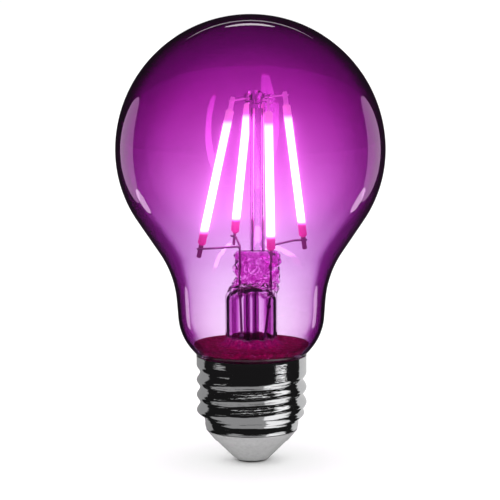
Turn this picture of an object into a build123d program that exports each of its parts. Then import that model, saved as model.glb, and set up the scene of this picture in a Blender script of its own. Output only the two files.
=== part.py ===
from build123d import *
from math import cos, pi, radians, sin
import os

# A light bulb with four coated filaments on a glass stem, in a tinted glass envelope.
# Millimetres, +Z up along the bulb's axis, the origin at the bottom of the centre contact.
# The front is -Y. Azimuths of the filaments are degrees from the front towards +X.

# Screw cap: a standard shell of 26 mm with seven turns to the inch
thread_pitch = 3.629
thread_crest_radius = 13.1
thread_depth = 0.8
first_groove_height = 8.69
groove_full_until = 1280.0
groove_gone_by = 1350.0
shell_wall = 0.3
shell_bottom = 7.6
shell_height = 17.9
collar_radius = 11.15
collar_height = 2.0
collar_rise = 2.2
thread_run_in = 1.54
collar_tuck = 0.4
collar_tuck_height = 1.5
rim_flare = 0.05
rim_flare_height = 0.7
profile_points_per_turn = 6
section_angle = 15.0

# Envelope: outer surface and wall
bulb_radius = 31.75
bulb_centre_height = 74.2
lower_bulb_radius = 29.4
lower_bulb_angle = 33.8
neck_top_radius = 18.1
neck_foot_radius = 17.0
neck_foot_height = 30.3
shoulder_radius = 24.0
foot_bend_radius = 12.7
rim_glass_radius = 13.74
rim_glass_rise = 1.0
rim_glass_round = 0.3
rim_bevel_slope = 1.0
seat_gap = 0.05
seat_depth = 2.0
envelope_wall = 0.8

# Stem: flare, pinched press, exhaust tube and post
tube_radius = 6.15
tube_wall = 0.9
tube_top_height = 40.8
skirt_height = 28.0
skirt_thickness = 1.3
skirt_bend_radius = 1.8
press_shift = 1.4
press_width = 10.3
press_thickness = 3.8
press_corner = 1.5
press_shoulder = 2.6
press_height = 9.7
press_top_round = 0.8
exhaust_radius = 1.85
exhaust_bore_radius = 0.95
exhaust_tip_height = 20.0
exhaust_tip_round = 1.48
exhaust_hole_radius = 1.65
exhaust_hole_shift = 0.7
exhaust_hole_height = 5.7
post_shift = 1.55
post_radius = 1.8
post_bore_radius = 1.1
post_length = 34.6
button_radius = 1.75
button_height = 36.0
lobe_radius = 1.25
lobe_circle_radius = 2.05

# Filaments: the glowing length, its coated ends and the metal tabs
filament_azimuths = (-71.0, 200.0, 19.0, 109.0)
filament_rises = (-0.4, 0.6, -0.7, 0.5)
lower_ring_radius = 12.2
upper_ring_radius = 7.5
lower_ring_shift = 0.6
upper_ring_shift = 1.8
lit_bottom_rise = 5.3
lit_rise = 25.45
coated_end = 3.1
coat_width = 1.75
coat_depth = 1.9
coat_corner = 0.7
coat_end_round = 0.45
tab_length = 3.0
tab_width = 1.1
tab_thickness = 0.3
tab_corner = 0.33
lower_weld = 0.8
upper_weld = 2.1

# Wires
support_wire_radius = 0.25
anchor_wire_radius = 0.2
lead_wire_radius = 0.3
wire_end = 1.0
wire_hole_gap = 0.03
weld_gap = 0.06
left_wire_place = -2.6
right_wire_place = 4.5
support_wire_depth = 4.5
support_wire_rise = 1.1
support_bend_radius = 0.8
support_run_in = 2.5
lead_wire_depth = 7.5
lead_bend_radius = 4.0
lead_run_out = 1.0
lead_bend_drop = 2.0
lead_foot_rise = 6.8
left_lead_bend = (-2.1, -2.7)
left_lead_foot = (-4.5, -4.0)
right_lead_bend = (2.8, 0.9)
right_lead_foot = (4.6, 4.2)
lead_knot_radius = 0.55
left_knot_drop = 10.6
right_knot_drop = 3.7

# Insulator and centre contact
contact_radius = 3.6
contact_flat_radius = 2.7
contact_thickness = 0.55
contact_edge = 0.2
contact_edge_round = 2.4
shank_radius = 1.65
shank_length = 3.1
insulator_tip_radius = 4.1
insulator_step_radius = 8.75
insulator_step_height = 5.2
insulator_step = 0.15
insulator_shoulder_radius = 10.9
insulator_rim_height = 2.8
cup_radius = 8.5
cup_straight_height = 7.2
cup_floor_radius = 4.8
cup_floor_height = 3.4
fit_gap = 0.05

# Driver board and what it carries
board_radius = 9.6
board_thickness = 1.2
capacitor_radius = 3.15
capacitor_length = 7.0
capacitor_place = (0.0, 5.2)
capacitor_edge = 0.38
capacitor_groove_height = 1.4
capacitor_groove_width = 0.35
capacitor_groove_depth = 0.22
bridge_size = (4.7, 3.9, 1.6)
bridge_place = (4.4, -1.2)
chip_size = (3.9, 4.9, 1.5)
chip_place = (-5.4, 0.6)
bridge_legs_per_side = 2
chip_legs_per_side = 4
package_taper = 4.0
leg_length = 0.9
leg_knee = 0.3
leg_width = 0.42
leg_thickness = 0.2
leg_lift = 0.7
body_lift = 0.12
resistor_radius = 1.15
resistor_length = 5.0
resistor_place = (0.0, -7.2)
resistor_lead_reach = 1.0
resistor_lead_hold = 0.2
resistor_edge = 0.345
small_wire_radius = 0.25
resistor_lead_bend = 0.5
neutral_azimuth = 215.0
neutral_start_radius = 8.3
neutral_bend_height = 1.4
neutral_slope_height = 3.6
small_bend_radius = 0.9

# Basing cement
cement_bottom_depth = 2.0
cement_bore_radius = 7.2

# Heights and radii that follow from the sizes above
shell_top = shell_bottom + shell_height
board_bottom = shell_bottom + insulator_rim_height - board_thickness
board_top = board_bottom + board_thickness
seat_bottom = shell_top - seat_depth
rim_glass_height = shell_top + rim_glass_rise
press_top = tube_top_height + press_height
exhaust_hole_level = tube_top_height + exhaust_hole_height
button_level = press_top + button_height
lit_bottom_height = press_top + lit_bottom_rise
lit_top_height = lit_bottom_height + lit_rise
lead_bend_height = skirt_height - lead_bend_drop
lead_foot_height = board_top + lead_foot_rise
cement_bottom = seat_bottom - cement_bottom_depth
wire_spacing = support_wire_radius + lead_wire_radius
thread_root_radius = thread_crest_radius - thread_depth
shell_inner_radius = thread_crest_radius - shell_wall
seat_radius = shell_inner_radius - seat_gap
thread_inner_radius = thread_root_radius - shell_wall
cement_radius = min(thread_inner_radius - fit_gap, seat_radius - envelope_wall)

os.makedirs("parts", exist_ok=True)


def finish(builder, name):
    """Label a finished piece and write it to its own file."""
    builder.part.label = name
    export_step(builder.part, f"parts/{name}.step")


def smooth_step(value, start, end):
    """Rise smoothly from 0 at start to 1 at end."""
    share = min(max((value - start) / (end - start), 0.0), 1.0)
    return share * share * (3.0 - 2.0 * share)


def wire(path, radius):
    """Sweep a round wire along a path in the current part."""
    with BuildSketch(Plane(origin=path @ 0, z_dir=path % 0)) as section:
        Circle(radius)
    sweep(section.sketch, path=path)


# Envelope


def envelope_outline():
    """Draw the outer line of the envelope from the top to its seat in the cap."""
    top = (0.0, bulb_centre_height + bulb_radius)
    equator = (bulb_radius, bulb_centre_height)
    diagonal = bulb_radius * sin(pi / 4.0)
    arc_centre = bulb_radius - lower_bulb_radius
    angle = radians(lower_bulb_angle)
    arc_end = (
        arc_centre + lower_bulb_radius * cos(angle),
        bulb_centre_height - lower_bulb_radius * sin(angle),
    )
    arc_middle = (
        arc_centre + lower_bulb_radius * cos(angle / 2),
        bulb_centre_height - lower_bulb_radius * sin(angle / 2),
    )
    cone_length = (arc_end[0] - neck_top_radius) / sin(angle)
    neck_top = (neck_top_radius, arc_end[1] - cone_length * cos(angle))
    seat_top = rim_glass_height - (rim_glass_radius - seat_radius) * rim_bevel_slope
    ThreePointArc(top, (diagonal, bulb_centre_height + diagonal), equator)
    ThreePointArc(equator, arc_middle, arc_end)
    FilletPolyline(
        arc_end,
        neck_top,
        (neck_foot_radius, neck_foot_height),
        (rim_glass_radius, rim_glass_height),
        (seat_radius, seat_top),
        (seat_radius, seat_bottom),
        radius=[shoulder_radius, foot_bend_radius, rim_glass_round, rim_glass_round],
    )


with BuildPart() as glass_envelope:
    with BuildSketch(Plane.XZ):
        with BuildLine():
            envelope_outline()
            offset(amount=-envelope_wall, side=Side.RIGHT)
        make_face()
    revolve(axis=Axis.Z)
finish(glass_envelope, "glass_envelope")

with BuildPart() as envelope_space:
    with BuildSketch(Plane.XZ):
        with BuildLine():
            envelope_outline()
            Line((seat_radius, seat_bottom), (0.0, seat_bottom))
            Line((0.0, seat_bottom), (0.0, bulb_centre_height + bulb_radius))
        make_face()
    revolve(axis=Axis.Z)
    add(glass_envelope.part, mode=Mode.SUBTRACT)

# Stem flare, with the press and its holes

tube_bore_radius = tube_radius - tube_wall

with BuildPart() as stem_flare:
    with BuildSketch(Plane.XZ):
        with BuildLine():
            FilletPolyline(
                (tube_radius, tube_top_height),
                (tube_radius, skirt_height),
                (neck_foot_radius, skirt_height),
                radius=skirt_bend_radius,
            )
            Line((neck_foot_radius, skirt_height), (neck_foot_radius, skirt_height - skirt_thickness))
            FilletPolyline(
                (neck_foot_radius, skirt_height - skirt_thickness),
                (tube_bore_radius, skirt_height - skirt_thickness),
                (tube_bore_radius, tube_top_height),
                radius=skirt_bend_radius + tube_wall,
            )
            Line((tube_bore_radius, tube_top_height), (tube_radius, tube_top_height))
        make_face()
    revolve(axis=Axis.Z)
    add(envelope_space.part, mode=Mode.INTERSECT)
    with BuildSketch(Plane.XY.offset(tube_top_height)):
        Circle(tube_radius)
    with BuildSketch(Plane.XY.offset(tube_top_height + press_shoulder)):
        with Locations((press_shift, 0.0)):
            RectangleRounded(press_width, press_thickness, press_corner)
    loft()
    with BuildSketch(Plane.XY.offset(tube_top_height + press_shoulder)):
        with Locations((press_shift, 0.0)):
            RectangleRounded(press_width, press_thickness, press_corner)
    extrude(amount=press_height - press_shoulder)
    fillet(faces().sort_by(Axis.Z)[-1].edges(), radius=press_top_round)
    with BuildSketch(Plane.XY.offset(tube_top_height)):
        Circle(exhaust_bore_radius)
    extrude(amount=exhaust_hole_height, mode=Mode.SUBTRACT)
    with BuildSketch(Plane.XZ):
        with Locations((exhaust_hole_shift, exhaust_hole_level)):
            Circle(exhaust_hole_radius)
    extrude(amount=press_thickness, mode=Mode.SUBTRACT)
    for wire_place in (left_wire_place, right_wire_place):
        with BuildSketch(Plane.XY.offset(tube_top_height)):
            with Locations((wire_place, 0.0)):
                Circle(lead_wire_radius + wire_hole_gap)
        extrude(amount=lead_wire_depth, mode=Mode.SUBTRACT)
        with BuildSketch(Plane.XY.offset(press_top - support_wire_depth)):
            with Locations((wire_place, wire_spacing), (wire_place, -wire_spacing)):
                Circle(support_wire_radius + wire_hole_gap)
        extrude(amount=support_wire_depth, mode=Mode.SUBTRACT)
finish(stem_flare, "stem_flare")

with BuildPart() as exhaust_tube:
    with BuildSketch(Plane.XY.offset(exhaust_tip_height)):
        Circle(exhaust_radius)
    extrude(amount=tube_top_height - exhaust_tip_height)
    fillet(faces().sort_by(Axis.Z)[0].edges(), radius=exhaust_tip_round)
    with BuildSketch(Plane.XY.offset(exhaust_tip_height + exhaust_radius)):
        Circle(exhaust_bore_radius)
    extrude(amount=tube_top_height - exhaust_tip_height - exhaust_radius, mode=Mode.SUBTRACT)
finish(exhaust_tube, "exhaust_tube")

# Filaments: each stands between a point of the lower ring and a point of the upper ring


def ring_point(ring_radius, ring_shift, height, azimuth):
    """Return a point of a ring of the filament cage."""
    angle = radians(azimuth)
    return Vector(ring_shift + ring_radius * sin(angle), -ring_radius * cos(angle), height)


class FilamentFrame:
    """The place of one filament: its line, its outward direction and its ends."""

    def __init__(self, azimuth, rise):
        angle = radians(azimuth)
        self.outward = Vector(sin(angle), -cos(angle), 0.0)
        self.sideways = Vector(cos(angle), sin(angle), 0.0)
        self.lit_bottom = ring_point(
            lower_ring_radius, lower_ring_shift, lit_bottom_height + rise, azimuth
        )
        self.lit_top = ring_point(upper_ring_radius, upper_ring_shift, lit_top_height + rise, azimuth)
        self.along = (self.lit_top - self.lit_bottom).normalized()
        self.coat_bottom = self.lit_bottom - self.along * coated_end
        self.coat_top = self.lit_top + self.along * coated_end

    def plane(self, origin, direction):
        """Return a plane across the filament, its X axis outward."""
        across = self.along.cross(self.outward).normalized()
        return Plane(origin=origin, x_dir=across.cross(self.along), z_dir=direction)

    def side(self):
        """Return the direction square to the tab's broad face."""
        return self.along.cross(self.outward).normalized()


def make_filament(frame):
    """Make the coated strip."""
    with BuildPart() as strip:
        with BuildSketch(frame.plane(frame.coat_bottom, frame.along)):
            RectangleRounded(coat_width, coat_depth, coat_corner)
        extrude(amount=(frame.coat_top - frame.coat_bottom).length)
        end_faces = strip.faces().sort_by(Axis(frame.coat_bottom, frame.along))
        chamfer(end_faces[0].edges() + end_faces[-1].edges(), length=coat_end_round)
    return strip


def make_tab(frame, origin, direction):
    """Make a flat metal tab that leaves the coated strip at origin."""
    with BuildPart() as tab:
        with BuildSketch(frame.plane(origin, direction)):
            Rectangle(tab_width, tab_thickness)
        extrude(amount=tab_length)
        tip = tab.faces().sort_by(Axis(origin, direction))[-1]
        tip_corners = tip.edges().sort_by(SortBy.LENGTH)[:2]
        fillet(tip_corners, radius=tab_corner)
    return tab


frames = [
    FilamentFrame(azimuth, rise)
    for azimuth, rise in zip(filament_azimuths, filament_rises)
]

for number, frame in enumerate(frames, start=1):
    finish(make_filament(frame), f"filament_{number}")
    finish(make_tab(frame, frame.coat_bottom, -frame.along), f"lower_tab_{number}")
    finish(make_tab(frame, frame.coat_top, frame.along), f"upper_tab_{number}")

# Anchor wires at the top, from the post's button to the upper tabs


def anchor_ends(frame):
    """Return the two ends of an anchor wire's centre line."""
    beside = frame.side() * (tab_thickness / 2 + anchor_wire_radius + weld_gap)
    start = Vector(post_shift, 0.0, button_level) + frame.outward * lobe_circle_radius + beside
    weld = frame.coat_top + frame.along * upper_weld + beside
    end = weld + (weld - start).normalized() * wire_end
    return start, end


for number, frame in enumerate(frames, start=1):
    with BuildPart() as anchor_wire:
        with BuildLine() as anchor_line:
            Line(*anchor_ends(frame))
        wire(anchor_line.wire(), anchor_wire_radius)
    finish(anchor_wire, f"anchor_wire_{number}")

# Post with its lobed button

with BuildPart() as stem_post:
    with BuildSketch(Plane.XY.offset(press_top)):
        with Locations((post_shift, 0.0)):
            Circle(post_radius)
    extrude(amount=post_length)
    with Locations((post_shift, 0.0, button_level)):
        Sphere(button_radius)
    for frame in frames:
        with Locations(Vector(post_shift, 0.0, button_level) + frame.outward * lobe_circle_radius):
            Sphere(lobe_radius)
    with BuildSketch(Plane.XY.offset(press_top)):
        with Locations((post_shift, 0.0)):
            Circle(post_bore_radius)
    extrude(amount=post_length - post_bore_radius, mode=Mode.SUBTRACT)
    for frame in frames:
        start, end = anchor_ends(frame)
        with BuildSketch(Plane(origin=start, z_dir=end - start)):
            Circle(anchor_wire_radius + wire_hole_gap)
        extrude(amount=(end - start).length, mode=Mode.SUBTRACT)
finish(stem_post, "stem_post")

# Support wires at the bottom, from the press to the lower tabs

support_places = (
    (left_wire_place, -wire_spacing),
    (left_wire_place, wire_spacing),
    (right_wire_place, -wire_spacing),
    (right_wire_place, wire_spacing),
)

for number, (frame, place) in enumerate(zip(frames, support_places), start=1):
    beside = frame.side() * (tab_thickness / 2 + support_wire_radius + weld_gap)
    weld = frame.coat_bottom - frame.along * lower_weld + beside
    with BuildPart() as support_wire:
        with BuildLine() as support_line:
            FilletPolyline(
                (*place, press_top - support_wire_depth),
                (*place, press_top + support_wire_rise),
                weld - frame.outward * support_run_in,
                weld + frame.outward * wire_end,
                radius=support_bend_radius,
            )
        wire(support_line.wire(), support_wire_radius)
    finish(support_wire, f"support_wire_{number}")

# Lead wires from the driver board through the flare into the press

lead_routes = {
    "left": (
        (left_wire_place, 0.0, tube_top_height + lead_wire_depth),
        (left_wire_place, 0.0, tube_top_height - lead_run_out),
        (*left_lead_bend, lead_bend_height),
        (*left_lead_foot, lead_foot_height),
        (*left_lead_foot, board_top),
    ),
    "right": (
        (right_wire_place, 0.0, tube_top_height + lead_wire_depth),
        (right_wire_place, 0.0, tube_top_height - lead_run_out),
        (*right_lead_bend, lead_bend_height),
        (*right_lead_foot, lead_foot_height),
        (*right_lead_foot, board_top),
    ),
}
knot_heights = {
    "left": tube_top_height - left_knot_drop,
    "right": tube_top_height - right_knot_drop,
}

for side, route in lead_routes.items():
    with BuildPart() as lead_wire:
        with BuildLine() as lead_line:
            FilletPolyline(*route, radius=lead_bend_radius)
        wire(lead_line.wire(), lead_wire_radius)
        upper, lower = Vector(route[1]), Vector(route[2])
        knot_share = (upper.Z - knot_heights[side]) / (upper.Z - lower.Z)
        with Locations(upper + (lower - upper) * knot_share):
            Sphere(lead_knot_radius)
    finish(lead_wire, f"lead_wire_{side}")

# Cap shell with the rolled thread


def shell_radius(height, azimuth):
    """Return the outer radius of the shell at a height and an azimuth from +X."""
    collar_top = shell_bottom + collar_height
    widening = smooth_step(height, collar_top, collar_top + collar_rise)
    crest = collar_radius + (thread_crest_radius - collar_radius) * widening
    turn = (height - first_groove_height) / thread_pitch - azimuth / 360.0
    groove_azimuth = azimuth + 360.0 * round(turn)
    depth = thread_depth * (1.0 - smooth_step(groove_azimuth, groove_full_until, groove_gone_by))
    depth *= smooth_step(height, collar_top, collar_top + thread_run_in)
    flare = rim_flare * smooth_step(height, shell_top - rim_flare_height, shell_top)
    tuck_share = max(1.0 - (height - shell_bottom) / collar_tuck_height, 0.0)
    tuck = collar_tuck * tuck_share * tuck_share
    return crest - depth * (1.0 + cos(2.0 * pi * turn)) / 2.0 + flare - tuck


profile_steps = round(profile_points_per_turn * shell_height / thread_pitch)
profile_shares = [step / profile_steps for step in range(profile_steps + 1)]


def shell_section(azimuth):
    """Draw the shell's wall in the half plane at an azimuth."""
    angle = radians(azimuth)
    radial = Vector(cos(angle), sin(angle), 0.0)
    across = Vector(sin(angle), -cos(angle), 0.0)
    heights = [shell_bottom + shell_height * share for share in profile_shares]
    with BuildSketch(Plane(origin=(0, 0, 0), x_dir=radial, z_dir=across)) as section:
        with BuildLine():
            outer, inner = (
                Edge.make_spline(
                    [Vector(shell_radius(height, azimuth) - inset, height) for height in heights],
                    parameters=profile_shares,
                )
                for inset in (0.0, shell_wall)
            )
            add([outer, inner])
            Line(outer @ 0, inner @ 0)
            Line(outer @ 1, inner @ 1)
        make_face()
    return section.sketch


with BuildPart() as cap_shell:
    for start_angle in (0.0, 180.0):
        steps = round(180.0 / section_angle)
        loft([shell_section(start_angle + 180.0 * step / steps) for step in range(steps + 1)])
finish(cap_shell, "cap_shell")

# Basing cement, under the skirt and round the end of the neck

with BuildPart() as basing_cement:
    with BuildSketch(Plane.XZ):
        with BuildLine():
            Polyline(
                (cement_bore_radius, cement_bottom),
                (cement_radius, cement_bottom),
                (cement_radius, skirt_height - skirt_thickness),
                (cement_bore_radius, skirt_height - skirt_thickness),
                close=True,
            )
        make_face()
    revolve(axis=Axis.Z)
    add(stem_flare.part, mode=Mode.SUBTRACT)
finish(basing_cement, "basing_cement")

# Insulator: a stepped cone with a cup for the driver inside

with BuildPart() as insulator:
    with BuildSketch(Plane.XZ):
        with BuildLine():
            collar_inner = collar_radius - shell_wall - fit_gap
            Polyline(
                (shank_radius + fit_gap, contact_thickness),
                (insulator_tip_radius, contact_thickness),
                (insulator_step_radius, insulator_step_height),
                (insulator_step_radius + insulator_step, insulator_step_height),
                (insulator_shoulder_radius, shell_bottom),
                (collar_inner - collar_tuck, shell_bottom),
                (collar_inner, shell_bottom + collar_tuck_height),
                (collar_inner, board_top),
                (board_radius + fit_gap, board_top),
                (board_radius + fit_gap, board_bottom),
                (cup_radius, board_bottom),
                (cup_radius, cup_straight_height),
                (cup_floor_radius, cup_floor_height),
                (shank_radius + fit_gap, cup_floor_height),
                close=True,
            )
        make_face()
    revolve(axis=Axis.Z)
finish(insulator, "insulator")

with BuildPart() as centre_contact:
    with BuildSketch(Plane.XZ):
        with BuildLine():
            Polyline(
                (contact_radius, contact_edge),
                (contact_radius, contact_thickness),
                (shank_radius, contact_thickness),
                (shank_radius, contact_thickness + shank_length),
                (small_wire_radius + wire_hole_gap, contact_thickness + shank_length),
                (small_wire_radius + wire_hole_gap, contact_thickness),
                (0.0, contact_thickness),
                (0.0, 0.0),
                (contact_flat_radius, 0.0),
            )
            RadiusArc((contact_radius, contact_edge), (contact_flat_radius, 0.0), contact_edge_round)
        make_face()
    revolve(axis=Axis.Z)
finish(centre_contact, "centre_contact")

# Driver board with its parts

with BuildPart() as driver_board:
    with BuildSketch(Plane.XY.offset(board_bottom)):
        Circle(board_radius)
        Circle(small_wire_radius + wire_hole_gap, mode=Mode.SUBTRACT)
    extrude(amount=board_thickness)
finish(driver_board, "driver_board")


def make_package(size, place, legs_per_side):
    """Make a moulded package with bent legs on its two long sides."""
    width, length, height = size
    leg_pitch = length / legs_per_side
    with BuildPart() as package:
        with BuildSketch(Plane.XY.offset(board_top + body_lift)):
            with Locations(place):
                Rectangle(width, length)
        extrude(amount=height, taper=package_taper)
        for side in (-1.0, 1.0):
            for leg in range(legs_per_side):
                leg_y = place[1] + (leg - (legs_per_side - 1) / 2) * leg_pitch
                inner_x = place[0] + side * (width / 2 - leg_width)
                knee_x = place[0] + side * (width / 2 + leg_knee)
                foot_x = place[0] + side * (width / 2 + leg_length)
                with BuildSketch(Plane.XZ.offset(-(leg_y - leg_width / 2))):
                    with BuildLine():
                        Polyline(
                            (inner_x, board_top + leg_lift),
                            (knee_x + side * leg_thickness, board_top + leg_lift),
                            (knee_x + side * leg_thickness, board_top + leg_thickness),
                            (foot_x, board_top + leg_thickness),
                            (foot_x, board_top),
                            (knee_x, board_top),
                            (knee_x, board_top + leg_lift - leg_thickness),
                            (inner_x, board_top + leg_lift - leg_thickness),
                            close=True,
                        )
                    make_face()
                extrude(amount=-leg_width)
    return package


finish(make_package(bridge_size, bridge_place, bridge_legs_per_side), "bridge_rectifier")
finish(make_package(chip_size, chip_place, chip_legs_per_side), "driver_chip")

with BuildPart() as smoothing_capacitor:
    with BuildSketch(Plane.XY.offset(board_top)):
        with Locations(capacitor_place):
            Circle(capacitor_radius)
    extrude(amount=capacitor_length)
    chamfer(edges().filter_by(GeomType.CIRCLE), length=capacitor_edge)
    with BuildSketch(Plane.XY.offset(board_top + capacitor_groove_height)):
        with Locations(capacitor_place):
            Circle(capacitor_radius)
            Circle(capacitor_radius - capacitor_groove_depth, mode=Mode.SUBTRACT)
    extrude(amount=capacitor_groove_width, mode=Mode.SUBTRACT)
finish(smoothing_capacitor, "smoothing_capacitor")

with BuildPart() as fuse_resistor:
    resistor_level = board_top + resistor_radius
    with BuildSketch(Plane.YZ.offset(resistor_place[0] - resistor_length / 2)):
        with Locations((resistor_place[1], resistor_level)):
            Circle(resistor_radius)
    extrude(amount=resistor_length)
    chamfer(edges().filter_by(GeomType.CIRCLE), length=resistor_edge)
    for side in (-1.0, 1.0):
        with BuildLine() as lead_line:
            body_end = resistor_place[0] + side * (resistor_length / 2 - resistor_lead_hold)
            lead_end = resistor_place[0] + side * (resistor_length / 2 + resistor_lead_reach)
            FilletPolyline(
                (body_end, resistor_place[1], resistor_level),
                (lead_end, resistor_place[1], resistor_level),
                (lead_end, resistor_place[1], board_top),
                radius=resistor_lead_bend,
            )
        wire(lead_line.wire(), small_wire_radius)
finish(fuse_resistor, "fuse_resistor")

# Wires from the board to the contact and to the shell

with BuildPart() as line_wire:
    with BuildSketch(Plane.XY.offset(contact_thickness)):
        Circle(small_wire_radius)
    extrude(amount=board_top + small_wire_radius - contact_thickness)
finish(line_wire, "line_wire")

with BuildPart() as neutral_wire:
    neutral_angle = radians(neutral_azimuth)
    neutral_end_radius = thread_inner_radius - small_wire_radius - weld_gap
    with BuildLine() as neutral_line:
        FilletPolyline(
            *[
                (radius * cos(neutral_angle), radius * sin(neutral_angle), height)
                for radius, height in (
                    (neutral_start_radius, board_top),
                    (neutral_start_radius, board_top + neutral_bend_height),
                    (neutral_end_radius, board_top + neutral_bend_height + neutral_slope_height),
                    (neutral_end_radius, cement_bottom),
                )
            ],
            radius=small_bend_radius,
        )
    wire(neutral_line.wire(), small_wire_radius)
finish(neutral_wire, "neutral_wire")
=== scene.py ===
"""Looks of a light bulb with four glowing filaments in a tinted glass envelope."""

from math import copysign, cos, hypot, pi, radians, sin, sqrt

import bmesh
import bpy
from mathutils import Matrix, Vector, noise


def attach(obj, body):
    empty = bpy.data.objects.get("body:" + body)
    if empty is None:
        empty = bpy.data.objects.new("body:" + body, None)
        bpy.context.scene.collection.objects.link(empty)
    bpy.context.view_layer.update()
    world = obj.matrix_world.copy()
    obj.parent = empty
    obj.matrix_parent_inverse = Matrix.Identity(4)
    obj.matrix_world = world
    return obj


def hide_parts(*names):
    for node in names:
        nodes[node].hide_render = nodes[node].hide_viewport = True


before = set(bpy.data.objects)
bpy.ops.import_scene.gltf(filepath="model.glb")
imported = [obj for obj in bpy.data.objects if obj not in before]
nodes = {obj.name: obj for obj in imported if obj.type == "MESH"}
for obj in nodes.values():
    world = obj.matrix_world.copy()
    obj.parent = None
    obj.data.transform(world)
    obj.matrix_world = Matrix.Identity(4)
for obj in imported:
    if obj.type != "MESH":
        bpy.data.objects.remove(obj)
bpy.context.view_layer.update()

MM = 0.001
SMOOTH_BELOW = 40.0
scene = bpy.context.scene

# ---------------------------------------------------------------- meshes


def add_mesh(name, verts, faces, sharp=SMOOTH_BELOW):
    """Make a smooth-shaded object from points in millimetres, its faces turned outward."""
    mesh = bpy.data.meshes.new(name)
    mesh.from_pydata([(x * MM, y * MM, z * MM) for x, y, z in verts], [], faces)
    work = bmesh.new()
    work.from_mesh(mesh)
    bmesh.ops.recalc_face_normals(work, faces=work.faces)
    work.to_mesh(mesh)
    work.free()
    mesh.shade_smooth()
    mesh.set_sharp_from_angle(angle=radians(sharp))
    piece = bpy.data.objects.new(name, mesh)
    scene.collection.objects.link(piece)
    return piece


def circle(radius, height, count):
    """Points round the axis, counterclockwise from +X."""
    turns = [2.0 * pi * step / count for step in range(count)]
    return [(radius * cos(turn), radius * sin(turn), height) for turn in turns]


def skin(rings):
    """Faces from each ring of point numbers to the next. A ring may be one point, repeated."""
    faces = []
    for ring, following in zip(rings, rings[1:]):
        for step in range(len(ring)):
            after = (step + 1) % len(ring)
            corners = (ring[step], ring[after], following[after], following[step])
            face = list(dict.fromkeys(corners))
            if len(face) > 2:
                faces.append(face)
    return faces


def revolved(name, loop, segments):
    """Turn a closed loop of (radius, height) points round the axis."""
    verts, rings = [], []
    for radius, height in loop:
        if radius == 0.0:
            rings.append([len(verts)] * segments)
            verts.append((0.0, 0.0, height))
        else:
            rings.append(list(range(len(verts), len(verts) + segments)))
            verts.extend(circle(radius, height, segments))
    return add_mesh(name, verts, skin(rings + rings[:1]))


def arc(centre, radius, start, end, steps):
    """Points and outward normals along an arc, angles in degrees."""
    found = []
    for step in range(steps + 1):
        angle = radians(start + (end - start) * step / steps)
        normal = (cos(angle), sin(angle))
        found.append(((centre[0] + radius * normal[0], centre[1] + radius * normal[1]), normal))
    return found


def rounded_corner(before, corner, after, radius):
    """Where a fillet starts and ends, its centre and its radius."""
    a = Vector((before[0] - corner[0], before[1] - corner[1])).normalized()
    b = Vector((after[0] - corner[0], after[1] - corner[1])).normalized()
    half = a.angle(b) / 2.0
    run = radius / (sin(half) / cos(half))
    middle = (a + b).normalized() * (radius / sin(half))
    corner = Vector(corner)
    return corner + a * run, corner + b * run, corner + middle, radius


WIDEST_TURN = radians(6.0)


def filleted(points, radii, spacing):
    """Points and left-hand normals along a polyline with rounded corners."""
    corners = map(rounded_corner, points, points[1:], points[2:], radii)
    samples = []

    def straight(start, end):
        steps = max(1, round((end - start).length / spacing))
        along = (end - start).normalized()
        for step in range(steps):
            samples.append((start + (end - start) * step / steps, (-along.y, along.x)))

    place = Vector(points[0])
    for first, last, centre, radius in corners:
        straight(place, first)
        one, two = first - centre, last - centre
        turn = one.angle(two)
        steps = max(3, round(turn * radius / spacing), round(turn / WIDEST_TURN))
        sign = 1.0 if one.x * two.y - one.y * two.x > 0.0 else -1.0
        for step in range(steps):
            angle = sign * turn * step / steps
            c, s = cos(angle), sin(angle)
            spoke = Vector((one.x * c - one.y * s, one.x * s + one.y * c))
            normal = spoke.normalized() * -sign
            samples.append((centre + spoke, (normal.x, normal.y)))
        place = last
    end = Vector(points[-1])
    straight(place, end)
    along = (end - place).normalized()
    samples.append((end, (-along.y, along.x)))
    return [((p[0], p[1]), n) for p, n in samples]


# Envelope: outline from the top to the seat in the cap, then back along the inner side
WALL = 0.72
BULB_R, BULB_Z, BULB_STEPS = 31.75, 74.2, 60
LOW_R, LOW_ANGLE, LOW_STEPS = 29.4, 33.8, 22
NECK_R, THROAT_R, THROAT_Z = 18.1, 17.0, 30.3
RIM_R, RIM_Z = 13.74, 26.5
SEAT_R, SEAT_Z = 12.75, 23.5
NECK_FILLET, THROAT_FILLET, RIM_FILLET = 24.0, 12.7, 0.3
OUTLINE_SPACING, ENVELOPE_SEGMENTS = 0.6, 224


def envelope_line():
    """Points and outward normals of the outer side, from the top down."""
    top = arc((0.0, BULB_Z), BULB_R, 90.0, 0.0, BULB_STEPS)
    low = arc((BULB_R - LOW_R, BULB_Z), LOW_R, 0.0, -LOW_ANGLE, LOW_STEPS)
    end = low[-1][0]
    slope = radians(LOW_ANGLE)
    run = (end[0] - NECK_R) / sin(slope)
    corners = [
        end,
        (NECK_R, end[1] - run * cos(slope)),
        (THROAT_R, THROAT_Z),
        (RIM_R, RIM_Z),
        (SEAT_R, RIM_Z - (RIM_R - SEAT_R)),
        (SEAT_R, SEAT_Z),
    ]
    fillets = [NECK_FILLET, THROAT_FILLET, RIM_FILLET, RIM_FILLET]
    return top + low[1:] + filleted(corners, fillets, OUTLINE_SPACING)[1:]


outline = envelope_line()
outer = [p for p, n in outline]
inner = [(max(p[0] - n[0] * WALL, 0.0), p[1] - n[1] * WALL) for p, n in outline]
outer[0] = (0.0, outer[0][1])
inner[0] = (0.0, inner[0][1])
envelope = revolved("envelope_glass", outer + inner[::-1], ENVELOPE_SEGMENTS)
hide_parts("glass_envelope")
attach(envelope, "root")

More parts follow.
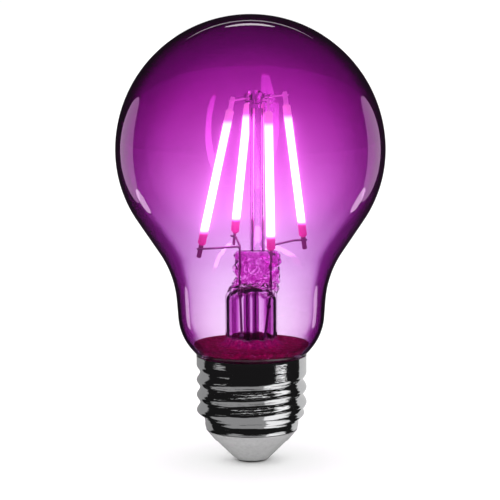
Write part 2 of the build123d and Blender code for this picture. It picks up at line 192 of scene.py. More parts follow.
# Cap shell: the rolled thread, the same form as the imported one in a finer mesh
PITCH, CREST, DEPTH, FIRST = 3.629, 13.1, 0.8, 8.69
SHELL_LOW, SHELL_HIGH, SHELL_WALL = 7.6, 25.5, 0.3
COLLAR_R, COLLAR_TOP, COLLAR_RISE, RUN_IN = 11.15, 9.6, 2.2, 1.54
GROOVE_FULL, GROOVE_GONE = 1280.0, 1350.0
LIP, LIP_BEVEL, LIP_FLARE, LIP_FLARE_RISE = 0.2, 0.3, 0.05, 0.7
TUCK, TUCK_RISE = 0.4, 1.5
SHELL_SEGMENTS, SHELL_ROWS = 300, 128


def smooth_step(value, start, end):
    share = min(max((value - start) / (end - start), 0.0), 1.0)
    return share * share * (3.0 - 2.0 * share)


def shell_radius(height, azimuth):
    """The shell's outer radius: the collar, the thread's grooves, the lip and the tuck below."""
    widening = smooth_step(height, COLLAR_TOP, COLLAR_TOP + COLLAR_RISE)
    crest = COLLAR_R + (CREST - COLLAR_R) * widening
    turn = (height - FIRST) / PITCH - azimuth / 360.0
    groove_azimuth = azimuth + 360.0 * round(turn)
    depth = DEPTH * (1.0 - smooth_step(groove_azimuth, GROOVE_FULL, GROOVE_GONE))
    depth *= smooth_step(height, COLLAR_TOP, COLLAR_TOP + RUN_IN)
    flare = LIP_FLARE * smooth_step(height, SHELL_HIGH - LIP_FLARE_RISE, SHELL_HIGH)
    tuck = TUCK * max(1.0 - (height - SHELL_LOW) / TUCK_RISE, 0.0) ** 2
    return crest - depth * (1.0 + cos(2.0 * pi * turn)) / 2.0 + flare - tuck


def make_shell():
    """The outer side from the bottom up, over the rounded lip, and down the inner side."""
    rise = SHELL_HIGH - SHELL_LOW
    heights = [SHELL_LOW + rise * row / SHELL_ROWS for row in range(SHELL_ROWS + 1)]
    bevel = LIP * LIP_BEVEL
    lip = [(SHELL_HIGH - LIP, 0.0), (SHELL_HIGH - bevel, bevel), (SHELL_HIGH, LIP)]
    levels = [(h, 0.0) for h in heights[:-1]] + lip + [(h, SHELL_WALL) for h in heights[::-3]]
    verts, rings = [], []
    for height, inset in levels:
        rings.append(list(range(len(verts), len(verts) + SHELL_SEGMENTS)))
        for step in range(SHELL_SEGMENTS):
            azimuth = 360.0 * step / SHELL_SEGMENTS
            radius = shell_radius(height, azimuth) - inset
            angle = radians(azimuth)
            verts.append((radius * cos(angle), radius * sin(angle), height))
    return add_mesh("screw_shell", verts, skin(rings + rings[:1]))


shell = make_shell()
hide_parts("cap_shell")
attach(shell, "root")

# Stem: the flared tube and its pinched press, crumpled as the glass was squeezed
TUBE_R, TUBE_WALL, TUBE_TOP, TUBE_DOME, TUBE_ROWS = 6.15, 0.9, 40.8, 2.2, 8
SKIRT_TOP, SKIRT_LOW, SKIRT_BEND, SKIRT_ROWS = 28.0, 26.7, 1.8, 6
SKIRT_RIM_R, SKIRT_UNDER_R = 13.85, 12.8
BEND_STEPS, DOME_STEPS = 10, 8
PRESS_X, PRESS_HALF_W, PRESS_HALF_T, PRESS_TOP, PRESS_ROUND = 1.4, 5.15, 1.9, 50.5, 0.8
PRESS_ROWS, STEM_SEGMENTS, STEM_SMOOTH_BELOW = 84, 216, 75.0
ROUND_POWER, PRESS_POWER = 2.0, 4.2
SHOULDER_LOW, SHOULDER_HIGH = 39.6, 43.4
CRUMPLE_FULL, CRUMPLE_FADES, CRUMPLE_GONE, CRUMPLE_GAIN = 42.0, 49.4, 50.3, 1.7
FOLD_SIZE, FOLD_DEPTH, CREASE_SIZE, CREASE_DEPTH = 2.4, 0.75, 1.1, 0.35
CREASE_SHIFT, FOLD_SQUEEZE = Vector((7.0, 3.0, 1.0)), 1.4
HOLE_X, HOLE_Z, HOLE_R, HOLE_DEPTH = 0.7, 46.5, 1.5, 1.2
HOLE_EDGE, HOLE_EDGE_RISE = 0.45, 0.35


def evenly_spaced(loop, count):
    """Points at equal distances along a closed loop of points."""
    lengths = [0.0]
    for one, two in zip(loop, loop[1:] + loop[:1]):
        lengths.append(lengths[-1] + hypot(two[0] - one[0], two[1] - one[1]))
    found, at = [], 0
    for step in range(count):
        goal = lengths[-1] * step / count
        while lengths[at + 1] < goal:
            at += 1
        part = (goal - lengths[at]) / (lengths[at + 1] - lengths[at])
        one, two = loop[at], loop[(at + 1) % len(loop)]
        found.append((one[0] + (two[0] - one[0]) * part, one[1] + (two[1] - one[1]) * part))
    return found


def pressed_ring(height):
    """Points and normals round the press at a height, where the round tube turns flat."""
    share = smooth_step(height, SHOULDER_LOW, SHOULDER_HIGH)
    left = height - (PRESS_TOP - PRESS_ROUND)
    inset = PRESS_ROUND - sqrt(max(PRESS_ROUND**2 - left**2, 0.0)) if left > 0.0 else 0.0
    wide = TUBE_R + (PRESS_HALF_W - TUBE_R) * share - inset
    thick = TUBE_R + (PRESS_HALF_T - TUBE_R) * share - inset
    power = ROUND_POWER + (PRESS_POWER - ROUND_POWER) * share
    fine = []
    for c, s, _ in circle(1.0, 0.0, STEM_SEGMENTS * 4):
        stretch = (abs(c) ** power + abs(s) ** power) ** (-1.0 / power)
        fine.append((wide * c * stretch, thick * s * stretch))
    ring = []
    for x, y in evenly_spaced(fine, STEM_SEGMENTS):
        across = copysign(abs(x / wide) ** (power - 1.0) / wide, x)
        deep = copysign(abs(y / thick) ** (power - 1.0) / thick, y)
        ring.append((x + PRESS_X * share, y, Vector((across, deep)).normalized()))
    return ring


def crumple(x, y, height):
    """How far the squeezed glass stands out or in at a point of the press."""
    strength = smooth_step(height, SHOULDER_LOW, CRUMPLE_FULL)
    strength *= 1.0 - smooth_step(height, CRUMPLE_FADES, CRUMPLE_GONE)
    place = Vector((x, y * FOLD_SQUEEZE, height))
    folds = noise.noise(place / FOLD_SIZE) * FOLD_DEPTH
    folds += noise.noise(place / CREASE_SIZE + CREASE_SHIFT) * CREASE_DEPTH
    out = strength * folds * CRUMPLE_GAIN
    away = hypot(x - HOLE_X, height - HOLE_Z)
    if y < 0.0:
        out += HOLE_EDGE_RISE * max(1.0 - abs(away - HOLE_R - HOLE_EDGE) / HOLE_EDGE, 0.0)
        out -= HOLE_DEPTH * (1.0 - smooth_step(away, HOLE_R - HOLE_EDGE, HOLE_R))
    return out


def make_stem():
    """Down the outer side from the press to the skirt's rim, and up the bore."""
    verts, rings = [(PRESS_X, 0.0, PRESS_TOP)], [[0] * STEM_SEGMENTS]

    def add_ring(points):
        rings.append(list(range(len(verts), len(verts) + STEM_SEGMENTS)))
        verts.extend(points)

    def round_ring(radius, height):
        add_ring(circle(radius, height, STEM_SEGMENTS))

    for row in range(PRESS_ROWS + 1):
        height = PRESS_TOP - (PRESS_TOP - SHOULDER_LOW) * row / PRESS_ROWS
        moved = []
        for x, y, normal in pressed_ring(height):
            out = crumple(x, y, height)
            moved.append((x + normal.x * out, y + normal.y * out, height))
        add_ring(moved)
    bend_r, bend_z = TUBE_R + SKIRT_BEND, SKIRT_TOP + SKIRT_BEND
    for row in range(1, TUBE_ROWS + 1):
        round_ring(TUBE_R, SHOULDER_LOW - (SHOULDER_LOW - bend_z) * row / TUBE_ROWS)
    for point, _ in arc((bend_r, bend_z), SKIRT_BEND, 180.0, 270.0, BEND_STEPS)[1:]:
        round_ring(*point)
    for row in range(1, SKIRT_ROWS + 1):
        round_ring(bend_r + (SKIRT_RIM_R - TUBE_R - SKIRT_BEND) * row / SKIRT_ROWS, SKIRT_TOP)
    round_ring(SKIRT_UNDER_R, SKIRT_LOW)
    bore, under = TUBE_R - TUBE_WALL, SKIRT_BEND + TUBE_WALL
    for point, _ in arc((bore + under, SKIRT_LOW + under), under, 270.0, 180.0, BEND_STEPS):
        round_ring(*point)
    dome_centre = (bore - TUBE_DOME, TUBE_TOP - TUBE_DOME)
    for point, _ in arc(dome_centre, TUBE_DOME, 0.0, 90.0, DOME_STEPS):
        round_ring(*point)
    rings.append([len(verts)] * STEM_SEGMENTS)
    verts.append((0.0, 0.0, TUBE_TOP))
    return add_mesh("flared_stem", verts, skin(rings), STEM_SMOOTH_BELOW)


stem = make_stem()
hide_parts("stem_flare")
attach(stem, "root")

# Smooth shading for the CAD nodes that stay in sight
NODE_SMOOTH_BELOW = 35.0
for node in nodes.values():
    if not node.hide_render:
        node.data.shade_smooth()
        node.data.set_sharp_from_angle(angle=radians(NODE_SMOOTH_BELOW))

# ---------------------------------------------------------------- materials

# A Mix node's sockets for colours: the factor, the two colours and the result
MIX_INPUTS, MIX_RESULT = (0, 6, 7), 2
WHITE = (1.0, 1.0, 1.0)


class Nodes:
    """Short names for building the node tree of a material or of the world."""

    def __init__(self, owner, output="ShaderNodeOutputMaterial"):
        owner.use_nodes = True
        self.owner = owner
        self.tree = owner.node_tree
        self.tree.nodes.clear()
        self.out = self.node(output)

    def node(self, kind, **values):
        """Add a node. A value goes to the socket of its name, or else to the attribute."""
        made = self.tree.nodes.new(kind)
        for name, value in values.items():
            socket = name.replace("_", " ")
            if socket in made.inputs:
                made.inputs[socket].default_value = value
            else:
                setattr(made, name, value)
        return made

    def link(self, source, target):
        self.tree.links.new(source, target)

    def feed(self, socket, value):
        """Set a socket to a number or a colour, or link it to another socket."""
        if isinstance(value, tuple):
            socket.default_value = (*value, 1.0)
        elif isinstance(value, float):
            socket.default_value = value
        else:
            self.link(value, socket)

    def principled(self, colour=(0.8, 0.8, 0.8), roughness=0.5, **values):
        colour = (*colour, 1.0)
        kind = "ShaderNodeBsdfPrincipled"
        return self.node(kind, Base_Color=colour, Roughness=roughness, **values)

    def place(self):
        return self.node("ShaderNodeTexCoord").outputs["Object"]

    def along(self, axis):
        """The object's own X, Y or Z coordinate, in metres."""
        split = self.node("ShaderNodeSeparateXYZ")
        self.link(self.place(), split.inputs[0])
        return split.outputs[axis]

    def height(self, low, high, to_low=0.0, to_high=1.0, smooth=False):
        """From one value at the low height to another at the high one, in millimetres."""
        return self.ranged(self.along("Z"), low * MM, high * MM, to_low, to_high, smooth)

    def radius(self):
        """The distance from the bulb's axis, in millimetres."""
        squares = [self.math("POWER", self.along(axis), 2.0) for axis in "XY"]
        return self.math("DIVIDE", self.math("SQRT", self.math("ADD", *squares)), MM)

    def ranged(self, source, low, high, to_low=0.0, to_high=1.0, smooth=False):
        """Turn the range from low to high into another, and hold its ends."""
        kind = "ShaderNodeMapRange"
        ramp = self.node(kind, From_Min=low, From_Max=high, To_Min=to_low, To_Max=to_high)
        if smooth:
            ramp.interpolation_type = "SMOOTHSTEP"
        self.link(source, ramp.inputs["Value"])
        return ramp.outputs["Result"]

    def ramp(self, source, stops):
        ramp = self.node("ShaderNodeValToRGB")
        elements = ramp.color_ramp.elements
        while len(elements) < len(stops):
            elements.new(0.5)
        for element, (place, colour) in zip(elements, stops):
            element.position = place
            element.color = (*colour, 1.0)
        self.link(source, ramp.inputs["Fac"])
        return ramp.outputs["Color"]

    def noise(self, scale, detail=3.0, rough=0.5, squeeze=None):
        """Noise over the object's own coordinates. scale is in 1/m."""
        made = self.node("ShaderNodeTexNoise", Scale=scale, Detail=detail, Roughness=rough)
        source = self.place()
        if squeeze:
            mapping = self.node("ShaderNodeMapping", Scale=squeeze)
            self.link(source, mapping.inputs["Vector"])
            source = mapping.outputs["Vector"]
        self.link(source, made.inputs["Vector"])
        return made.outputs["Fac"]

    def math(self, kind, *values):
        made = self.node("ShaderNodeMath", operation=kind)
        for socket, value in zip(made.inputs, values):
            self.feed(socket, value)
        return made.outputs[0]

    def mix(self, factor, one, two, kind="MIX"):
        """Mix two colours."""
        made = self.node("ShaderNodeMix", data_type="RGBA", blend_type=kind)
        for number, value in zip(MIX_INPUTS, (factor, one, two)):
            self.feed(made.inputs[number], value)
        return made.outputs[MIX_RESULT]

    def bump(self, shader, height, strength, distance):
        made = self.node("ShaderNodeBump", Strength=strength, Distance=distance * MM)
        self.link(height, made.inputs["Height"])
        self.link(made.outputs["Normal"], shader.inputs["Normal"])
        return made.outputs["Normal"]

    def facing(self, normal=None):
        """0 where a surface faces the ray and 1 where it is edge-on."""
        weight = self.node("ShaderNodeLayerWeight", Blend=0.5)
        if normal:
            self.link(normal, weight.inputs["Normal"])
        return weight.outputs["Facing"]

    def either(self, share, first, second):
        """Mix two shaders."""
        made = self.node("ShaderNodeMixShader")
        self.link(share, made.inputs["Fac"])
        self.link(first.outputs[0], made.inputs[1])
        self.link(second.outputs[0], made.inputs[2])
        return made

    def finish(self, shader):
        self.link(shader.outputs[0], self.out.inputs["Surface"])
        return self.owner

    def glass(self, shader, shade):
        """Show the shader, but let the lights' rays through, tinted."""
        clear = self.node("ShaderNodeBsdfTransparent")
        self.feed(clear.inputs["Color"], shade)
        path = self.node("ShaderNodeLightPath")
        return self.finish(self.either(path.outputs["Is Shadow Ray"], shader, clear))


def material_nodes(name):
    return Nodes(bpy.data.materials.new(name))


def dress(material, *pieces):
    for piece in pieces:
        piece.data.materials.clear()
        piece.data.materials.append(material)


# Refractive indices. The glass inside the bulb has lower ones than real glass, because a
# stronger one shows the dark room that reflections see, and not the glass's tint.
ENVELOPE_IOR, STEM_IOR, THIN_IOR = 1.5, 1.12, 1.3

# Painted shade: how the glass's colour is darkened from where it faces the eye to its
# outline, standing in for the dark room that its edges reflect and bend
PAINTED_OUTLINE_SHADE = [
    (0.00, (1.0, 1.0, 1.0)),
    (0.42, (0.96, 0.86, 0.97)),
    (0.48, (0.82, 0.50, 0.84)),
    (0.53, (0.40, 0.09, 0.40)),
    (0.57, (0.34, 0.03, 0.33)),
    (1.00, (0.30, 0.025, 0.30)),
]
# Painted shade: a broader darkening towards the outline
PAINTED_FALLOFF_SHADE = [
    (0.08, (1.0, 1.0, 1.0)),
    (0.22, (0.88, 0.72, 0.88)),
    (0.40, (0.58, 0.32, 0.58)),
    (0.70, (0.45, 0.18, 0.45)),
]
# Painted light and shade on the stem, its press, the exhaust tube and the post: dark bands and
# bright lines by how each surface faces the eye
STEM_PAINTED_LIGHT_AND_SHADE = [
    (0.00, (1.0, 1.0, 1.0)),
    (0.17, (0.88, 0.62, 0.88)),
    (0.22, (0.46, 0.08, 0.44)),
    (0.34, (0.36, 0.04, 0.34)),
    (0.40, (0.98, 0.93, 0.98)),
    (0.90, (0.98, 0.90, 0.98)),
    (1.00, (0.30, 0.05, 0.30)),
]
PRESS_PAINTED_LIGHT_AND_SHADE = [
    (0.00, (0.90, 0.34, 0.84)),
    (0.05, (0.62, 0.09, 0.52)),
    (0.16, (0.42, 0.004, 0.31)),
    (0.27, (0.68, 0.08, 0.56)),
    (0.36, (1.0, 0.80, 1.0)),
    (0.60, (1.0, 0.92, 1.0)),
    (1.00, (0.90, 0.60, 0.90)),
]
TUBE_PAINTED_LIGHT_AND_SHADE = [
    (0.00, (1.0, 1.0, 1.0)),
    (0.02, (0.85, 0.62, 0.86)),
    (0.06, (0.44, 0.07, 0.42)),
    (0.60, (0.36, 0.03, 0.33)),
    (0.72, (0.90, 0.60, 0.90)),
    (1.00, (0.30, 0.03, 0.30)),
]
POST_PAINTED_LIGHT_AND_SHADE = [
    (0.00, (1.0, 0.96, 1.0)),
    (0.12, (0.96, 0.80, 0.96)),
    (0.30, (0.80, 0.42, 0.78)),
    (0.42, (0.60, 0.14, 0.56)),
    (0.52, (1.0, 0.90, 1.0)),
    (0.78, (0.90, 0.60, 0.90)),
    (1.00, (0.35, 0.06, 0.33)),
]

# The envelope's tint from the neck, at 26 mm, to the top, at 106 mm
TINT_LOW, TINT_HIGH = 26.0, 106.0
TINT = [
    (0.00, (0.95, 0.84, 0.97)),
    (0.10, (0.93, 0.78, 0.96)),
    (0.28, (0.88, 0.68, 0.94)),
    (0.38, (0.88, 0.61, 0.93)),
    (0.455, (0.82, 0.41, 0.84)),
    (0.60, (0.66, 0.21, 0.66)),
    (0.75, (0.57, 0.11, 0.555)),
    (0.86, (0.51, 0.085, 0.50)),
    (0.93, (0.46, 0.09, 0.45)),
    (1.00, (0.42, 0.10, 0.42)),
]


def tinted_glass():
    """Tinted glass: deep violet at the top, fading to lavender at the neck."""
    n = material_nodes("tinted_glass")
    shader = n.principled(roughness=0.0, IOR=ENVELOPE_IOR, Transmission_Weight=1.0)
    tint = n.ramp(n.height(TINT_LOW, TINT_HIGH), TINT)
    n.bump(shader, n.noise(60.0, 2.0, 0.4), 0.10, 0.4)
    # The painted dark outline, painted shade, is broad at the neck and narrow round the bulb. It
    # fades at the envelope's lower end and towards its top. A painted falloff darkens the glass
    # further towards its outline, fully above 62 mm and less lower down.
    facing = n.facing()
    height = n.height(0.0, 100.0)
    shift = n.ranged(height, 0.46, 0.72, 0.0, 0.17, smooth=True)
    outline = n.ramp(n.math("SUBTRACT", facing, shift), PAINTED_OUTLINE_SHADE)
    above_rim = n.ranged(height, 0.262, 0.29)
    below_top = n.ranged(height, 0.94, 1.04, 1.0, 0.45)
    outline = n.mix(n.math("MULTIPLY", above_rim, below_top), WHITE, outline)
    painted_falloff = n.mix(n.ranged(height, 0.46, 0.62, 0.4, 1.0), WHITE, n.ramp(facing, PAINTED_FALLOFF_SHADE))
    painted_light_shade = n.mix(1.0, outline, painted_falloff, "MULTIPLY")
    n.link(n.mix(1.0, tint, painted_light_shade, "MULTIPLY"), shader.inputs["Base Color"])
    return n.glass(shader, tint)


def clear_glass(name, tint, waves, wave_size, painted_light_and_shade):
    n = material_nodes(name)
    shader = n.principled(roughness=0.0, IOR=THIN_IOR, Transmission_Weight=1.0)
    normal = n.bump(shader, n.noise(wave_size, 2.0, 0.5), waves, 0.4)
    # Painted light and shade: darker bands and bright lines in the colour, by how the surface
    # faces the eye
    painted_light_shade = n.ramp(n.facing(normal), painted_light_and_shade)
    n.link(n.mix(1.0, painted_light_shade, tint, "MULTIPLY"), shader.inputs["Base Color"])
    return n.glass(shader, tint)


def flare_glass():
    """Clear glass with a crumpled, magenta press, its skirt covered with maroon paste."""
    n = material_nodes("stem_glass")
    shader = n.principled(roughness=0.0, IOR=STEM_IOR)
    height = n.height(0.0, 100.0)
    border = n.ranged(n.noise(500.0, 3.0), 0.3, 0.7, -0.004, 0.004)
    clear = n.ranged(n.math("ADD", height, border), 0.297, 0.300)
    pressed = n.ranged(height, 0.398, 0.415, smooth=True)
    # Folds on the press, and grain on the paste
    folds = n.math("MULTIPLY", pressed, n.noise(420.0, 1.0, 0.5))
    grain = n.math("MULTIPLY", n.math("SUBTRACT", 1.0, clear), n.noise(1500.0, 4.0, 0.6))
    normal = n.bump(shader, n.math("ADD", folds, n.math("MULTIPLY", grain, 0.9)), 1.0, 0.7)
    # Painted light and shade: dark bands and bright lines by how the stem and its press face the
    # eye
    facing = n.facing(normal)
    painted_light_shade = n.mix(pressed, n.ramp(facing, STEM_PAINTED_LIGHT_AND_SHADE), n.ramp(facing, PRESS_PAINTED_LIGHT_AND_SHADE))
    tint = n.mix(pressed, (0.97, 0.90, 0.97), (1.0, 0.90, 0.99))
    glass = n.mix(1.0, painted_light_shade, tint, "MULTIPLY")
    # Paste: maroon specks, lighter ones round the tube's foot, and painted glints, which are
    # painted highlights
    speck = n.ranged(n.noise(900.0, 5.0, 0.7), 0.42, 0.62)
    paste = n.mix(speck, (0.24, 0.0004, 0.05), (0.74, 0.001, 0.17))
    from_axis = n.math("ADD", n.radius(), n.ranged(speck, 0.0, 1.0, -1.0, 1.0))
    middle = n.ranged(from_axis, 5.5, 8.5, 0.6, 0.0, smooth=True)
    paste = n.mix(middle, paste, n.mix(speck, (0.40, 0.004, 0.20), (0.90, 0.02, 0.50)))
    # Painted highlights: bright pink glints in the paste's colour
    painted_glints = n.ranged(n.noise(1800.0, 2.0), 0.62, 0.68, 0.0, 0.7)
    paste = n.mix(painted_glints, paste, (0.95, 0.20, 0.60))
    n.link(n.mix(clear, paste, glass), shader.inputs["Base Color"])
    n.link(clear, shader.inputs["Transmission Weight"])
    n.link(n.ranged(clear, 0.0, 1.0, 0.28, 0.0), shader.inputs["Roughness"])
    return n.glass(shader, (0.95, 0.88, 0.96))


def metal(name, colour, roughness, grain, depth, spread=0.1, polish=1.0, rolled=0.0, painted_glow=0.0):
    """Metal with a fine grain, with lines round it where it is rolled. Its glow is painted
    light.
    """
    n = material_nodes(name)
    shader = n.principled(
        colour, roughness, Metallic=polish, Emission_Color=(*colour, 1.0), Emission_Strength=painted_glow
    )
    speck = height = n.noise(grain, 4.0, 0.6)
    smoothest = max(roughness - spread, 0.02)
    n.link(n.ranged(speck, 0.3, 0.7, smoothest, roughness + spread), shader.inputs["Roughness"])
    if rolled:
        lines = n.noise(130.0, 3.0, 0.6, squeeze=(1.0, 1.0, 8.0))
        height = n.math("ADD", speck, n.math("MULTIPLY", lines, rolled))
    n.bump(shader, height, depth, 0.05)
    return n.finish(shader)


def matt(name, dark, light, grain, roughness, depth):
    """A matt surface speckled between two colours."""
    n = material_nodes(name)
    shader = n.principled(light, roughness)
    speck = n.noise(grain, 5.0, 0.6)
    n.link(n.mix(n.ranged(speck, 0.3, 0.7), dark, light), shader.inputs["Base Color"])
    n.bump(shader, n.noise(grain * 2.0, 4.0, 0.6), depth, 0.1)
    return n.finish(shader)


END_GLOW, STRIP_GLOW, STRIP_RISE = 0.75, 8.0, 1.6


def filament_material(name, low, high):
    """The strip glows between its lit ends, which are dimmer and magenta."""
    n = material_nodes(name)
    shader = n.principled((0.55, 0.06, 0.28), 0.55)
    n.bump(shader, n.noise(2500.0, 3.0, 0.6), 0.25, 0.05)
    up = n.height(low - 0.7, low + 0.9, smooth=True)
    down = n.height(high - 0.9, high + 0.7, 1.0, 0.0, smooth=True)
    lit = n.math("MULTIPLY", up, down)
    ends = n.mix(n.height(low + 5.0, high - 5.0), (0.85, 0.004, 0.30), (1.0, 0.85, 0.92))
    n.link(n.mix(lit, ends, (1.0, 0.62, 1.0)), shader.inputs["Emission Color"])
    rising = n.height(low, high, 1.0, STRIP_RISE)
    strength = n.math("MULTIPLY", rising, n.ranged(lit, 0.0, 1.0, END_GLOW, STRIP_GLOW))
    n.link(strength, shader.inputs["Emission Strength"])
    return n.finish(shader)


tinted = tinted_glass()
stem_glass = flare_glass()
tube_glass = clear_glass("tube_glass", (0.97, 0.94, 0.97), 0.1, 160.0, TUBE_PAINTED_LIGHT_AND_SHADE)
post_glass = clear_glass("post_glass", (0.98, 0.94, 0.98), 0.25, 200.0, POST_PAINTED_LIGHT_AND_SHADE)
plating = metal("cap_plating", (0.76, 0.76, 0.77), 0.09, 900.0, 0.12, 0.04, rolled=16.0)
wire_metal = metal("wire_metal", (0.48, 0.20, 0.42), 0.40, 3000.0, 0.2, polish=0.5)
tab_metal = metal("tab_metal", (0.62, 0.10, 0.42), 0.38, 2500.0, 0.2, polish=0.5)
# Painted light: the upper tabs and anchor wires glow, standing in for the filaments' light that
# falls on them
pale_metal_painted_glow = metal("pale_tab_metal_painted_glow", (0.94, 0.66, 0.88), 0.45, 2500.0, 0.2, polish=0.2, painted_glow=0.7)
contact_metal = metal("contact_metal", (0.46, 0.45, 0.44), 0.35, 1500.0, 0.2)
insulator = matt("insulator_plastic", (0.40, 0.40, 0.40), (0.48, 0.48, 0.48), 1200.0, 0.42, 0.05)
cement = matt("cement", (0.09, 0.004, 0.03), (0.20, 0.008, 0.07), 700.0, 0.5, 0.6)
board = matt("board_laminate", (0.03, 0.16, 0.07), (0.05, 0.24, 0.10), 1500.0, 0.45, 0.05)
package = matt("package_plastic", (0.015, 0.015, 0.016), (0.035, 0.035, 0.038), 3000.0, 0.5, 0.2)
sleeve = matt("capacitor_sleeve", (0.02, 0.025, 0.05), (0.04, 0.045, 0.08), 1200.0, 0.35, 0.05)
resistor = matt("resistor_body", (0.20, 0.34, 0.36), (0.28, 0.44, 0.46), 2500.0, 0.45, 0.15)
insulated = matt("insulated_wire", (0.70, 0.70, 0.68), (0.82, 0.82, 0.80), 2500.0, 0.45, 0.08)

dress(tinted, envelope)
dress(plating, shell)
dress(stem_glass, stem)
dress(tube_glass, nodes["exhaust_tube"])
dress(post_glass, nodes["stem_post"])
dress(cement, nodes["basing_cement"])
dress(insulator, nodes["insulator"])
dress(contact_metal, nodes["centre_contact"])
dress(board, nodes["driver_board"])
dress(package, nodes["bridge_rectifier"], nodes["driver_chip"])
dress(sleeve, nodes["smoothing_capacitor"])
dress(resistor, nodes["fuse_resistor"])
dress(insulated, nodes["line_wire"], nodes["neutral_wire"])
dress(wire_metal, nodes["lead_wire_left"], nodes["lead_wire_right"])

# Where the strips' light starts and ends, and how far each strip stands above or below that
LIT_LOW, LIT_HIGH = 55.8, 81.25
for number, rise in enumerate((-0.4, 0.6, -0.7, 0.5), start=1):
    coating = filament_material(f"filament_coating_{number}", LIT_LOW + rise, LIT_HIGH + rise)
    dress(coating, nodes[f"filament_{number}"])
    dress(tab_metal, nodes[f"lower_tab_{number}"])
    dress(pale_metal_painted_glow, nodes[f"upper_tab_{number}"], nodes[f"anchor_wire_{number}"])
    dress(wire_metal, nodes[f"support_wire_{number}"])

# ---------------------------------------------------------------- studio

FLOOR_R, FLOOR_SEGMENTS = 6.0, 96


def make_floor():
    """A round pale floor, its rim out of sight."""
    mesh = bpy.data.meshes.new("floor")
    mesh.from_pydata(circle(FLOOR_R, 0.0, FLOOR_SEGMENTS), [], [tuple(range(FLOOR_SEGMENTS))])
    floor = bpy.data.objects.new("floor", mesh)
    scene.collection.objects.link(floor)
    n = material_nodes("floor_paper")
    shader = n.principled((0.95, 0.95, 0.95), 0.9, Specular_IOR_Level=0.1)
    paper = n.mix(n.noise(14.0, 2.0), (0.94, 0.94, 0.94), (0.96, 0.96, 0.96))
    n.link(paper, shader.inputs["Base Color"])
    dress(n.finish(shader), floor)
    floor.visible_glossy = False
    floor.visible_shadow = False


make_floor()


def lit_group(name, *pieces):
    """A collection for the pieces that a light reaches."""
    group = bpy.data.collections.new(name)
    scene.collection.children.link(group)
    for piece in pieces:
        group.objects.link(piece)
    return group


for_glass = lit_group("lit_as_glass", envelope)
for_cap = lit_group("lit_as_cap", shell, nodes["centre_contact"])


def card(name, lights, aim, towards, size, radiance, shape="ELLIPSE", colour=WHITE):
    """A light card. aim is the point that it faces, in mm, and size its width and height.

    towards is its azimuth, 0 at the front and + to the right, its elevation and its
    distance from the aim.
    """
    azimuth, elevation, distance = towards
    a, e = radians(azimuth), radians(elevation)
    out = Vector((sin(a) * cos(e), -cos(a) * cos(e), sin(e)))
    data = bpy.data.lights.new(name, "AREA")
    data.shape = shape
    data.color = colour
    data.size, data.size_y = (side * MM for side in size)
    data.energy = radiance * pi * data.size * data.size_y
    light = bpy.data.objects.new(name, data)
    light.location = (Vector(aim) + out * distance) * MM
    light.rotation_mode = "QUATERNION"
    light.rotation_quaternion = out.to_track_quat("Z", "Y")
    light.visible_camera = False
    light.visible_transmission = False
    light.light_linking.receiver_collection = lights
    scene.collection.objects.link(light)


PINK, PALE_PINK = (1.0, 0.56, 1.0), (1.0, 0.78, 1.0)
BULB_MIDDLE, CAP_TOP, CAP_MIDDLE = (0.0, 0.0, 74.0), (0.0, 0.0, 21.5), (0.0, 0.0, 16.0)

for name, side in (("left", -1.0), ("right", 1.0)):
    aim, towards = (29.0 * side, -12.0, 68.0), (130.0 * side, 0.0, 120.0)
    card(f"bulb_side_{name}", for_glass, aim, towards, (62.0, 116.0), 1.15, colour=PINK)
    aim, towards = (15.6 * side, -9.2, 9.0), (119.0 * side, 0.0, 120.0)
    card(f"neck_line_{name}", for_glass, aim, towards, (22.0, 38.0), 3.0, colour=PALE_PINK)
card("top_arc", for_glass, BULB_MIDDLE, (180.0, 47.0, 600.0), (190.0, 44.0), 2.8)
card("top_edge", for_glass, BULB_MIDDLE, (180.0, 38.0, 600.0), (460.0, 22.0), 1.2)
for name, aim, towards, size, radiance, shape in (
    ("left", CAP_MIDDLE, (-145.0, 0.0, 500.0), (560.0, 500.0), 0.30, "RECTANGLE"),
    ("right", CAP_MIDDLE, (147.0, 0.0, 500.0), (560.0, 500.0), 0.62, "RECTANGLE"),
    ("below", CAP_MIDDLE, (0.0, -88.0, 500.0), (1000.0, 700.0), 0.30, "RECTANGLE"),
    ("below_right", CAP_MIDDLE, (85.0, -52.0, 500.0), (420.0, 380.0), 0.60, "ELLIPSE"),
    ("above", CAP_MIDDLE, (0.0, 50.0, 500.0), (900.0, 36.0), 0.85, "ELLIPSE"),
    ("above_low", CAP_MIDDLE, (10.0, 16.0, 500.0), (700.0, 12.0), 0.90, "ELLIPSE"),
    ("above_right", CAP_MIDDLE, (76.0, 40.0, 500.0), (360.0, 110.0), 0.90, "ELLIPSE"),
    ("patch_left", CAP_TOP, (-68.0, -7.0, 150.0), (80.0, 14.0), 0.40, "ELLIPSE"),
    ("patch_right", CAP_TOP, (62.0, -7.0, 150.0), (70.0, 12.0), 1.1, "ELLIPSE"),
):
    card(f"cap_{name}", for_cap, aim, towards, size, radiance, shape)


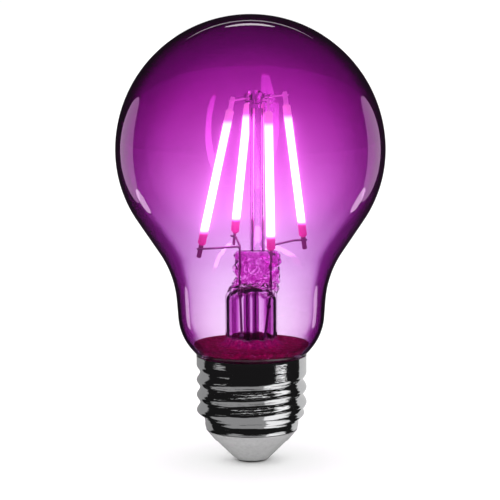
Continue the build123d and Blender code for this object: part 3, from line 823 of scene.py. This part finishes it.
def make_world():
    """White behind the bulb, soft white light on matt pieces, a dark room in reflections."""
    world = bpy.data.worlds.new("studio")
    scene.world = world
    n = Nodes(world, "ShaderNodeOutputWorld")
    path = n.node("ShaderNodeLightPath").outputs
    around, behind, room = [
        n.node("ShaderNodeBackground", Color=(*WHITE, 1.0), Strength=brightness)
        for brightness in (1.4, 1.03, 0.01)
    ]
    seen = n.math("MAXIMUM", path["Is Camera Ray"], path["Is Transmission Ray"])
    reflected = n.math("GREATER_THAN", path["Glossy Depth"], 0.5)
    n.finish(n.either(reflected, n.either(seen, around, behind), room))


make_world()

# Camera: 480 mm from the middle of the bulb, 7 degrees above it. The focal length and the
# photo's width are in pixels.
FOCAL_LENGTH, PHOTO_WIDTH, SENSOR = 2030.0, 500.0, 36.0
BULB_HALF_WAY, CAMERA_DISTANCE = 0.0505, 0.480
CAMERA_RISE, CAMERA_ROLL = radians(7.0), radians(0.3)

camera_data = bpy.data.cameras.new("camera")
camera_data.sensor_width = SENSOR
camera_data.lens = FOCAL_LENGTH / PHOTO_WIDTH * SENSOR
camera_data.shift_x = -0.00186
camera_data.clip_start = 0.01
camera = bpy.data.objects.new("camera", camera_data)
scene.collection.objects.link(camera)
back = Vector((0.0, -cos(CAMERA_RISE), sin(CAMERA_RISE)))
camera.location = Vector((0.0, 0.0, BULB_HALF_WAY)) + back * CAMERA_DISTANCE
camera.rotation_mode = "QUATERNION"
level = back.to_track_quat("Z", "Y").to_matrix().to_4x4()
camera.rotation_quaternion = (level @ Matrix.Rotation(-CAMERA_ROLL, 4, "Z")).to_quaternion()
bpy.context.scene.camera = camera

scene.view_settings.view_transform = "Standard"
scene.view_settings.look = "None"
# Enough bounces for a ray through all walls of the envelope and the stem
GLASS_BOUNCES = 24
scene.cycles.max_bounces = GLASS_BOUNCES
scene.cycles.transmission_bounces = GLASS_BOUNCES
scene.cycles.transparent_max_bounces = GLASS_BOUNCES
scene.cycles.glossy_bounces = 8
scene.cycles.diffuse_bounces = 4
scene.cycles.use_denoising = True

# Halo of the lit filaments
scene.use_nodes = True
comp = scene.node_tree
comp.nodes.clear()
layers = comp.nodes.new("CompositorNodeRLayers")
glare = comp.nodes.new("CompositorNodeGlare")
glare.glare_type = "BLOOM"
result = comp.nodes.new("CompositorNodeComposite")
comp.links.new(layers.outputs["Image"], glare.inputs["Image"])
comp.links.new(glare.outputs["Image"], result.inputs["Image"])
for name, value in (("Threshold", 1.6), ("Strength", 0.6), ("Size", 0.4)):
    glare.inputs[name].default_value = value
